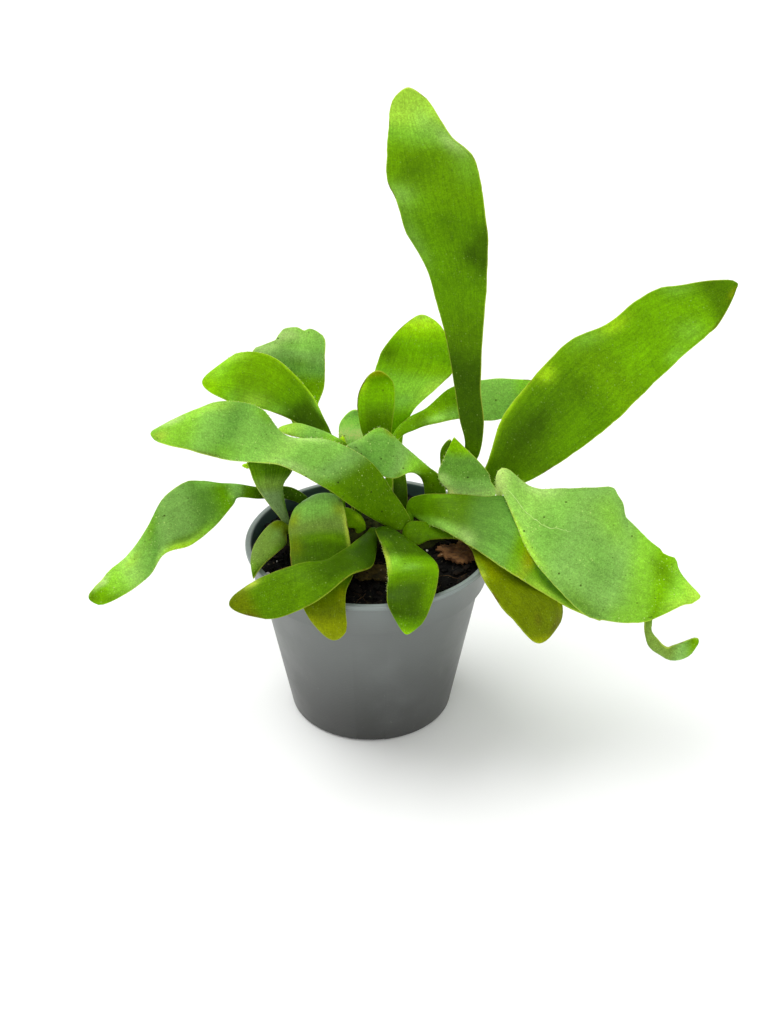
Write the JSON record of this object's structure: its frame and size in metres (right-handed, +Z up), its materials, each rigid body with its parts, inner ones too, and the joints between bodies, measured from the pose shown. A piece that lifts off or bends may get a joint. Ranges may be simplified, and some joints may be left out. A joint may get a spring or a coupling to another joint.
{
  "type": "potted staghorn fern",
  "caption": "Young staghorn fern with broad leathery strap fronds and one forked frond, growing from a rhizome in a small round grey nursery pot.",
  "frame": {"origin": "middle of the pot's flat base, on the surface it stands on", "axes": "+Z up through the middle of the pot, -Y towards the side that faces the viewer, +X to the viewer's right"},
  "size_m": [0.1552, 0.0689, 0.1536],
  "materials": {
    "pot": "satin grey moulded plastic",
    "soil": "damp crumbly potting mix",
    "rhizome": "rough brown scales",
    "bright_frond": "satin leathery leaf, bright green",
    "blue_green_frond": "satin leathery leaf with a pale bloom",
    "olive_frond": "satin leathery leaf, olive green",
    "dry_leaf": "dry brown leaf",
    "old_frond": "withered dark frond"
  },
  "bodies": {
    "root": {"frond_back_left": "blue_green_frond", "frond_back_small": "blue_green_frond", "frond_back_strap": "blue_green_frond", "frond_back_tall": "bright_frond", "frond_bud": "bright_frond", "frond_centre": "blue_green_frond", "frond_forked": "blue_green_frond", "frond_front_arched": "olive_frond", "frond_front_centre": "olive_frond", "frond_front_long": "bright_frond", "frond_front_small": "olive_frond", "frond_left_behind": "blue_green_frond", "frond_left_long": "blue_green_frond", "frond_left_rim": "blue_green_frond", "frond_left_standing": "blue_green_frond", "frond_left_twisted": "blue_green_frond", "frond_left_upper": "bright_frond", "frond_right_short": "blue_green_frond", "frond_right_strap": "bright_frond", "frond_right_under": "olive_frond", "frond_spoon": "olive_frond", "frond_tall": "bright_frond", "frond_upper_right": "bright_frond", "pot": "pot", "rhizome": "rhizome", "scrap_dry_leaf": "dry_leaf", "scrap_old_frond": "old_frond", "soil": "soil"}
  },
  "joints": []
}
